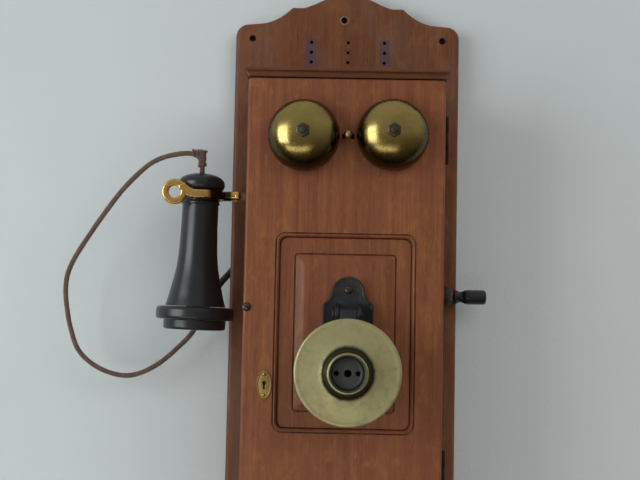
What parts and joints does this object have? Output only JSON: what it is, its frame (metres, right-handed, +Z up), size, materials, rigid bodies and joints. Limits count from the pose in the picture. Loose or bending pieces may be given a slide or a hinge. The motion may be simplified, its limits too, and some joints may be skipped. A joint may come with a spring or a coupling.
{
  "type": "wall crank telephone",
  "caption": "Wooden wall telephone with bells and a tilting transmitter on a hinged door, a receiver on a side hook and a hand crank.",
  "frame": {"origin": "back face of the backboard, on its centre line, at the height midway between the cabinet's crank and hook", "axes": "+Z up along the backboard, -Y out of the wall towards the person using it, +X to that person's right, where the crank is"},
  "size_m": [0.4182, 0.2164, 0.597],
  "materials": {
    "oak": "old varnished oak, reddish brown, satin",
    "dark_oak": "dark varnished oak",
    "brass": "worn brass, dulled",
    "pale_brass": "pale worn brass",
    "black_iron": "black enamel, worn",
    "hard_rubber": "polished black hard rubber",
    "steel": "dull steel",
    "bronzed_steel": "steel browned with age",
    "magnet_steel": "dark red enamel",
    "coil_wire": "enamelled copper wire",
    "cell_paper": "red-brown card wrap",
    "braid": "woven brown braid"
  },
  "bodies": {
    "cabinet": {"backboard": "oak", "cabinet_side_left": "oak", "cabinet_side_right": "oak", "cabinet_top": "dark_oak", "cabinet_bottom": "dark_oak", "inner_shelf": "oak", "hinge_upper_cabinet_leaf": "steel", "hinge_lower_cabinet_leaf": "steel", "crank_bushing": "brass", "magneto_plate_left": "brass", "magneto_plate_right": "brass", "magneto_magnet_1": "magnet_steel", "magneto_magnet_2": "magnet_steel", "hook_bracket": "steel", "contact_springs": "brass", "cord_sleeve": "hard_rubber", "dry_cell_left": "cell_paper", "dry_cell_right": "cell_paper", "induction_coil": "coil_wire"},
    "door": {"door_frame": "oak", "door_panel": "oak", "hinge_upper_door_leaf": "steel", "hinge_lower_door_leaf": "steel", "stile_screw": "brass", "escutcheon": "brass", "lock_case": "steel", "bell_left": "brass", "bell_right": "brass", "bell_post_left": "steel", "bell_post_right": "steel", "bell_nut_left": "black_iron", "bell_nut_right": "black_iron", "ringer_frame": "steel", "ringer_coil_left": "coil_wire", "ringer_coil_right": "coil_wire", "transmitter_back_plate": "black_iron", "back_plate_screw": "steel", "transmitter_pivot_pin": "steel"},
    "lock_bolt": {"lock_bolt": "brass"},
    "clapper": {"ringer_armature": "steel", "clapper": "brass"},
    "transmitter": {"transmitter_cup": "black_iron", "transmitter_faceplate": "pale_brass", "mouthpiece_collar": "brass", "mouthpiece_guard": "black_iron", "carbon_button": "steel"},
    "crank": {"crank_shaft": "steel", "crank_arm": "black_iron", "drive_gear": "brass"},
    "grip": {"crank_grip": "hard_rubber"},
    "armature": {"magneto_armature": "steel"},
    "hook": {"hook_fork": "brass", "hook_lever": "bronzed_steel"},
    "receiver": {"receiver_top_cap": "hard_rubber", "receiver_shell": "hard_rubber", "ear_cap": "hard_rubber", "receiver_diaphragm": "steel", "receiver_magnet": "magnet_steel", "receiver_cord": "braid", "cord_knot": "braid"}
  },
  "joints": [
    {"name": "door_swing", "type": "hinge", "parent": "cabinet", "child": "door", "pos_m": [0.0921, -0.1271, 0], "axis": [0, 0, 1], "range_deg": [0, 100]},
    {"name": "lock_slide", "type": "slide", "parent": "door", "child": "lock_bolt", "axis": [-1, 0, 0], "range_m": [0, 0.006]},
    {"name": "clapper_rock", "type": "hinge", "parent": "door", "child": "clapper", "pos_m": [0.0017, -0.11, 0.084], "axis": [0, 1, 0], "range_deg": [-3.8, 3.8], "stiffness_Nm_per_rad": 0.03},
    {"name": "transmitter_tilt", "type": "hinge", "parent": "door", "child": "transmitter", "pos_m": [0.0045, -0.163, -0.033], "axis": [-1, 0, 0], "range_deg": [-8, 20]},
    {"name": "crank_turn", "type": "hinge", "parent": "cabinet", "child": "crank", "pos_m": [0.1, -0.076, -0.0134], "axis": [1, 0, 0], "continuous": true},
    {"name": "grip_spin", "type": "hinge", "parent": "crank", "child": "grip", "pos_m": [0.126, -0.035, -0.0134], "axis": [1, 0, 0], "continuous": true},
    {"name": "armature_spin", "type": "hinge", "parent": "cabinet", "child": "armature", "pos_m": [0, -0.044, -0.02989], "axis": [1, 0, 0], "continuous": true},
    {"name": "receiver_off", "type": "slide", "parent": "cabinet", "child": "receiver", "axis": [-0.7431, 0, 0.6691], "range_m": [0, 0.08]},
    {"name": "hook_lift", "type": "hinge", "parent": "cabinet", "child": "hook", "pos_m": [-0.058, -0.078, 0.0781], "axis": [0, 1, 0], "range_deg": [0, 10]}
  ],
  "couplings": [
    {"joint": "armature_spin", "follows": "crank_turn", "ratio": -5},
    {"joint": "hook_lift", "follows": "receiver_off", "rad_per_m": 2.18}
  ]
}
